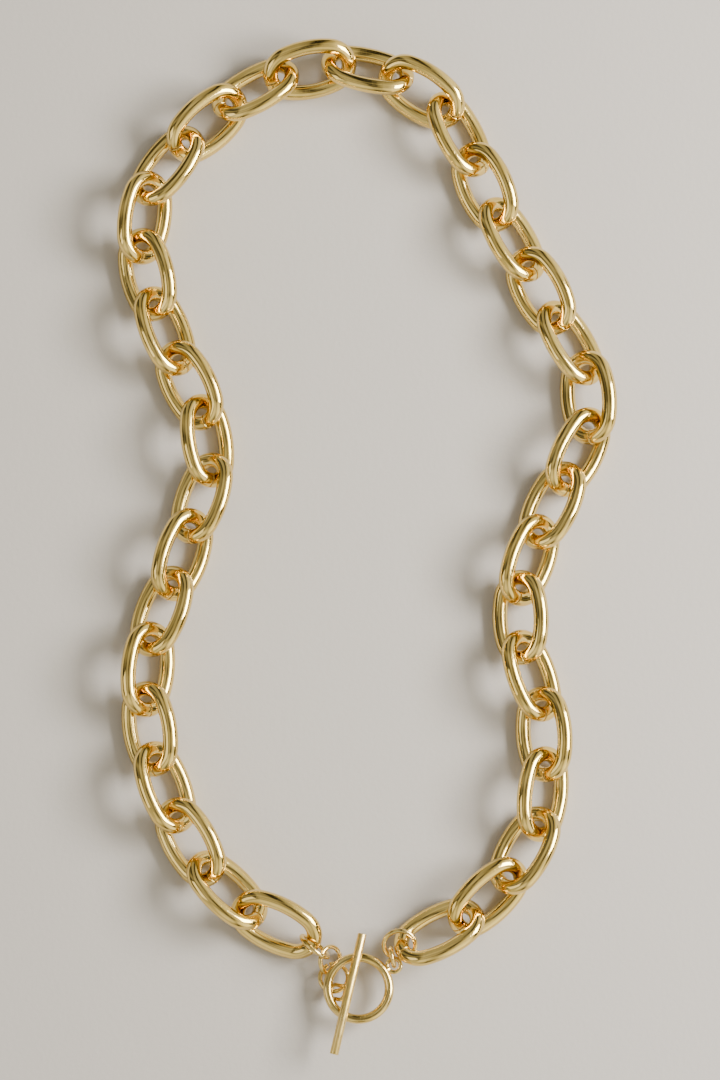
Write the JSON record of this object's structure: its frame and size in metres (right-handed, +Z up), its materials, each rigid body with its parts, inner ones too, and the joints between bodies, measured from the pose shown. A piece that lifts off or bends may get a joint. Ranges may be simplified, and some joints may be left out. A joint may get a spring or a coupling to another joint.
{
  "type": "chain necklace",
  "caption": "Chunky chain necklace of interlocked oval wire links laid in an open loop, closed by a bar and ring toggle clasp.",
  "frame": {"origin": "centre of the necklace's box in plan, on the surface it lies on", "axes": "+Y from the clasp to the top of the loop, +Z up off the surface, +X to the right seen from above"},
  "size_m": [0.0984, 0.1998, 0.0092],
  "materials": {
    "link_gold": "mirror-polished warm yellow gold plate",
    "clasp_gold": "polished pale gold plate",
    "bar_gold": "satin pale gold plate"
  },
  "bodies": {
    "link_top": {"link_top": "link_gold"},
    "link_left_01": {"link_left_01": "link_gold"},
    "link_left_02": {"link_left_02": "link_gold"},
    "link_left_03": {"link_left_03": "link_gold"},
    "link_left_04": {"link_left_04": "link_gold"},
    "link_left_05": {"link_left_05": "link_gold"},
    "link_left_06": {"link_left_06": "link_gold"},
    "link_left_07": {"link_left_07": "link_gold"},
    "link_left_08": {"link_left_08": "link_gold"},
    "link_left_09": {"link_left_09": "link_gold"},
    "link_left_10": {"link_left_10": "link_gold"},
    "link_left_11": {"link_left_11": "link_gold"},
    "link_left_12": {"link_left_12": "link_gold"},
    "link_left_13": {"link_left_13": "link_gold"},
    "link_left_14": {"link_left_14": "link_gold"},
    "link_left_15": {"link_left_15": "link_gold"},
    "link_left_16": {"link_left_16": "link_gold"},
    "link_left_17": {"link_left_17": "link_gold"},
    "link_right_01": {"link_right_01": "link_gold"},
    "link_right_02": {"link_right_02": "link_gold"},
    "link_right_03": {"link_right_03": "link_gold"},
    "link_right_04": {"link_right_04": "link_gold"},
    "link_right_05": {"link_right_05": "link_gold"},
    "link_right_06": {"link_right_06": "link_gold"},
    "link_right_07": {"link_right_07": "link_gold"},
    "link_right_08": {"link_right_08": "link_gold"},
    "link_right_09": {"link_right_09": "link_gold"},
    "link_right_10": {"link_right_10": "link_gold"},
    "link_right_11": {"link_right_11": "link_gold"},
    "link_right_12": {"link_right_12": "link_gold"},
    "link_right_13": {"link_right_13": "link_gold"},
    "link_right_14": {"link_right_14": "link_gold"},
    "link_right_15": {"link_right_15": "link_gold"},
    "link_right_16": {"link_right_16": "link_gold"},
    "link_right_17": {"link_right_17": "link_gold"},
    "link_right_18": {"link_right_18": "link_gold"},
    "jump_ring_bar_1": {"jump_ring_bar_1": "clasp_gold"},
    "jump_ring_bar_2": {"jump_ring_bar_2": "clasp_gold"},
    "jump_ring_bar_3": {"jump_ring_bar_3": "clasp_gold"},
    "jump_ring_ring_1": {"jump_ring_ring_1": "clasp_gold"},
    "jump_ring_ring_2": {"jump_ring_ring_2": "clasp_gold"},
    "toggle_ring": {"toggle_ring": "clasp_gold"},
    "toggle_bar": {"toggle_bar": "bar_gold"}
  },
  "joints": [
    {"name": "fold_01_right", "type": "hinge", "parent": "link_top", "child": "link_right_01", "pos_m": [-0.00573, 0.09555, 0.00459], "axis": [0.9783, 0.2074, 0], "range_deg": [-30, 0]},
    {"name": "fold_01_left", "type": "hinge", "parent": "link_top", "child": "link_left_01", "pos_m": [-0.01717, 0.09312, 0.00459], "axis": [0.9783, 0.2074, 0], "range_deg": [-30, 0]},
    {"name": "fold_02_right", "type": "hinge", "parent": "link_right_01", "child": "link_right_02", "pos_m": [0.00581, 0.09326, 0.00459], "axis": [-0.9827, -0.1851, 0], "range_deg": [0, 13]},
    {"name": "fold_02_left", "type": "hinge", "parent": "link_left_01", "child": "link_left_02", "pos_m": [-0.02726, 0.08704, 0.00459], "axis": [-0.9827, -0.1851, 0], "range_deg": [0, 13]},
    {"name": "fold_03_right", "type": "hinge", "parent": "link_right_02", "child": "link_right_03", "pos_m": [0.01563, 0.08697, 0.00459], "axis": [0.9888, 0.1493, 0], "range_deg": [-20, 0]},
    {"name": "fold_03_left", "type": "hinge", "parent": "link_left_02", "child": "link_left_03", "pos_m": [-0.03603, 0.07917, 0.00459], "axis": [0.9888, 0.1493, 0], "range_deg": [-20, 0]},
    {"name": "fold_04_right", "type": "hinge", "parent": "link_right_03", "child": "link_right_04", "pos_m": [0.0209, 0.07645, 0.00459], "axis": [-0.9943, -0.1065, 0], "range_deg": [0, 13]},
    {"name": "fold_04_left", "type": "hinge", "parent": "link_left_03", "child": "link_left_04", "pos_m": [-0.04291, 0.06962, 0.00459], "axis": [-0.9943, -0.1065, 0], "range_deg": [0, 13]},
    {"name": "fold_05_right", "type": "hinge", "parent": "link_right_04", "child": "link_right_05", "pos_m": [0.02587, 0.06577, 0.00459], "axis": [0.9942, 0.1072, 0], "range_deg": [-20, 0]},
    {"name": "fold_05_left", "type": "hinge", "parent": "link_left_04", "child": "link_left_05", "pos_m": [-0.04469, 0.05816, 0.00459], "axis": [0.9942, 0.1072, 0], "range_deg": [-20, 0]},
    {"name": "fold_06_right", "type": "hinge", "parent": "link_right_05", "child": "link_right_06", "pos_m": [0.03169, 0.0555, 0.00459], "axis": [-0.993, -0.1182, 0], "range_deg": [0, 30]},
    {"name": "fold_06_left", "type": "hinge", "parent": "link_left_05", "child": "link_left_06", "pos_m": [-0.04162, 0.04677, 0.00459], "axis": [-0.993, -0.1182, 0], "range_deg": [0, 30]},
    {"name": "fold_07_right", "type": "hinge", "parent": "link_right_06", "child": "link_right_07", "pos_m": [0.03735, 0.04514, 0.00459], "axis": [0.9922, 0.1246, 0], "range_deg": [-30, 0]},
    {"name": "fold_07_left", "type": "hinge", "parent": "link_left_06", "child": "link_left_07", "pos_m": [-0.03744, 0.03575, 0.00459], "axis": [0.9922, 0.1246, 0], "range_deg": [-30, 0]},
    {"name": "fold_08_right", "type": "hinge", "parent": "link_right_07", "child": "link_right_08", "pos_m": [0.0433, 0.03494, 0.00459], "axis": [-0.9919, -0.127, 0], "range_deg": [0, 16]},
    {"name": "fold_08_left", "type": "hinge", "parent": "link_left_07", "child": "link_left_08", "pos_m": [-0.03194, 0.0253, 0.00459], "axis": [-0.9919, -0.127, 0], "range_deg": [0, 16]},
    {"name": "fold_09_right", "type": "hinge", "parent": "link_right_08", "child": "link_right_09", "pos_m": [0.0445, 0.02352, 0.00459], "axis": [0.9917, 0.1286, 0], "range_deg": [-7, 0]},
    {"name": "fold_09_left", "type": "hinge", "parent": "link_left_08", "child": "link_left_09", "pos_m": [-0.03025, 0.01382, 0.00459], "axis": [0.9917, 0.1286, 0], "range_deg": [-7, 0]},
    {"name": "fold_10_right", "type": "hinge", "parent": "link_right_09", "child": "link_right_10", "pos_m": [0.03913, 0.01302, 0.00459], "axis": [-0.9899, -0.1416, 0], "range_deg": [0, 30]},
    {"name": "fold_10_left", "type": "hinge", "parent": "link_left_09", "child": "link_left_10", "pos_m": [-0.03383, 0.00259, 0.00459], "axis": [-0.9899, -0.1416, 0], "range_deg": [0, 30]},
    {"name": "fold_11_right", "type": "hinge", "parent": "link_right_10", "child": "link_right_11", "pos_m": [0.03427, 0.00228, 0.00459], "axis": [0.9888, 0.1494, 0], "range_deg": [-26, 0]},
    {"name": "fold_11_left", "type": "hinge", "parent": "link_left_10", "child": "link_left_11", "pos_m": [-0.03763, -0.00858, 0.00459], "axis": [0.9888, 0.1494, 0], "range_deg": [-26, 0]},
    {"name": "fold_12_right", "type": "hinge", "parent": "link_right_11", "child": "link_right_12", "pos_m": [0.0302, -0.00878, 0.00459], "axis": [-0.9886, -0.1504, 0], "range_deg": [0, 20]},
    {"name": "fold_12_left", "type": "hinge", "parent": "link_left_11", "child": "link_left_12", "pos_m": [-0.04158, -0.01971, 0.00459], "axis": [-0.9886, -0.1504, 0], "range_deg": [0, 20]},
    {"name": "fold_13_right", "type": "hinge", "parent": "link_right_12", "child": "link_right_13", "pos_m": [0.03077, -0.02041, 0.00459], "axis": [0.989, 0.1476, 0], "range_deg": [-30, 0]},
    {"name": "fold_13_left", "type": "hinge", "parent": "link_left_12", "child": "link_left_13", "pos_m": [-0.04274, -0.03138, 0.00459], "axis": [0.989, 0.1476, 0], "range_deg": [-30, 0]},
    {"name": "fold_14_right", "type": "hinge", "parent": "link_right_13", "child": "link_right_14", "pos_m": [0.0346, -0.03158, 0.00459], "axis": [-0.9887, -0.1498, 0], "range_deg": [0, 26]},
    {"name": "fold_14_left", "type": "hinge", "parent": "link_left_13", "child": "link_left_14", "pos_m": [-0.04064, -0.04298, 0.00459], "axis": [-0.9887, -0.1498, 0], "range_deg": [0, 26]},
    {"name": "fold_15_right", "type": "hinge", "parent": "link_right_14", "child": "link_right_15", "pos_m": [0.03558, -0.0433, 0.00459], "axis": [0.9891, 0.1473, 0], "range_deg": [-26, 0]},
    {"name": "fold_15_left", "type": "hinge", "parent": "link_left_14", "child": "link_left_15", "pos_m": [-0.03655, -0.05404, 0.00459], "axis": [0.9891, 0.1473, 0], "range_deg": [-26, 0]},
    {"name": "fold_16_right", "type": "hinge", "parent": "link_right_15", "child": "link_right_16", "pos_m": [0.03414, -0.05499, 0.00459], "axis": [-0.99, -0.1414, 0], "range_deg": [0, 25]},
    {"name": "fold_16_left", "type": "hinge", "parent": "link_left_15", "child": "link_left_16", "pos_m": [-0.03064, -0.06424, 0.00459], "axis": [-0.99, -0.1414, 0], "range_deg": [0, 25]},
    {"name": "fold_17_right", "type": "hinge", "parent": "link_right_16", "child": "link_right_17", "pos_m": [0.02853, -0.06524, 0.00459], "axis": [0.9904, 0.1383, 0], "range_deg": [-16, 0]},
    {"name": "fold_17_left", "type": "hinge", "parent": "link_left_16", "child": "link_left_17", "pos_m": [-0.02216, -0.07232, 0.00459], "axis": [0.9904, 0.1383, 0], "range_deg": [-16, 0]},
    {"name": "fold_18_right", "type": "hinge", "parent": "link_right_17", "child": "link_right_18", "pos_m": [0.01988, -0.07328, 0.00459], "axis": [-0.9916, -0.1294, 0], "range_deg": [0, 10]},
    {"name": "fold_18_left", "type": "hinge", "parent": "link_left_17", "child": "jump_ring_bar_1", "pos_m": [-0.01151, -0.07738, 0.00459], "axis": [-0.9916, -0.1294, 0], "range_deg": [0, 10]},
    {"name": "fold_19_right", "type": "hinge", "parent": "link_right_18", "child": "jump_ring_ring_1", "pos_m": [0.00959, -0.07878, 0.00459], "axis": [0.9927, 0.0856, 0.0856], "range_deg": [-12, 0]},
    {"name": "fold_19_left", "type": "hinge", "parent": "jump_ring_bar_1", "child": "jump_ring_bar_2", "pos_m": [-0.00781, -0.08028, 0.00309], "axis": [0.9927, 0.0856, 0.0856], "range_deg": [-12, 0]},
    {"name": "fold_20_right", "type": "hinge", "parent": "jump_ring_ring_1", "child": "jump_ring_ring_2", "pos_m": [0.00617, -0.08025, 0.0033], "axis": [-0.9657, -0.2392, -0.1011], "range_deg": [0, 8]},
    {"name": "fold_20_left", "type": "hinge", "parent": "jump_ring_bar_2", "child": "jump_ring_bar_3", "pos_m": [-0.00586, -0.08323, 0.00204], "axis": [-0.9657, -0.2392, -0.1011], "range_deg": [0, 8]},
    {"name": "fold_21_right", "type": "hinge", "parent": "jump_ring_ring_2", "child": "toggle_ring", "pos_m": [0.00602, -0.08238, 0.00369], "axis": [0.9064, 0.402, 0.13], "range_deg": [-3, 0]},
    {"name": "fold_21_left", "type": "hinge", "parent": "jump_ring_bar_3", "child": "toggle_bar", "pos_m": [-0.00548, -0.08748, 0.00204], "axis": [0.9064, 0.402, 0.13], "range_deg": [-3, 0]}
  ],
  "couplings": [
    {"joint": "fold_01_left", "follows": "fold_01_right", "ratio": 1},
    {"joint": "fold_02_left", "follows": "fold_02_right", "ratio": 1},
    {"joint": "fold_03_left", "follows": "fold_03_right", "ratio": 1},
    {"joint": "fold_04_left", "follows": "fold_04_right", "ratio": 1},
    {"joint": "fold_05_left", "follows": "fold_05_right", "ratio": 1},
    {"joint": "fold_06_left", "follows": "fold_06_right", "ratio": 1},
    {"joint": "fold_07_left", "follows": "fold_07_right", "ratio": 1},
    {"joint": "fold_08_left", "follows": "fold_08_right", "ratio": 1},
    {"joint": "fold_09_left", "follows": "fold_09_right", "ratio": 1},
    {"joint": "fold_10_left", "follows": "fold_10_right", "ratio": 1},
    {"joint": "fold_11_left", "follows": "fold_11_right", "ratio": 1},
    {"joint": "fold_12_left", "follows": "fold_12_right", "ratio": 1},
    {"joint": "fold_13_left", "follows": "fold_13_right", "ratio": 1},
    {"joint": "fold_14_left", "follows": "fold_14_right", "ratio": 1},
    {"joint": "fold_15_left", "follows": "fold_15_right", "ratio": 1},
    {"joint": "fold_16_left", "follows": "fold_16_right", "ratio": 1},
    {"joint": "fold_17_left", "follows": "fold_17_right", "ratio": 1},
    {"joint": "fold_18_left", "follows": "fold_18_right", "ratio": 1},
    {"joint": "fold_19_left", "follows": "fold_19_right", "ratio": 1},
    {"joint": "fold_20_left", "follows": "fold_20_right", "ratio": 1},
    {"joint": "fold_21_left", "follows": "fold_21_right", "ratio": 1}
  ]
}
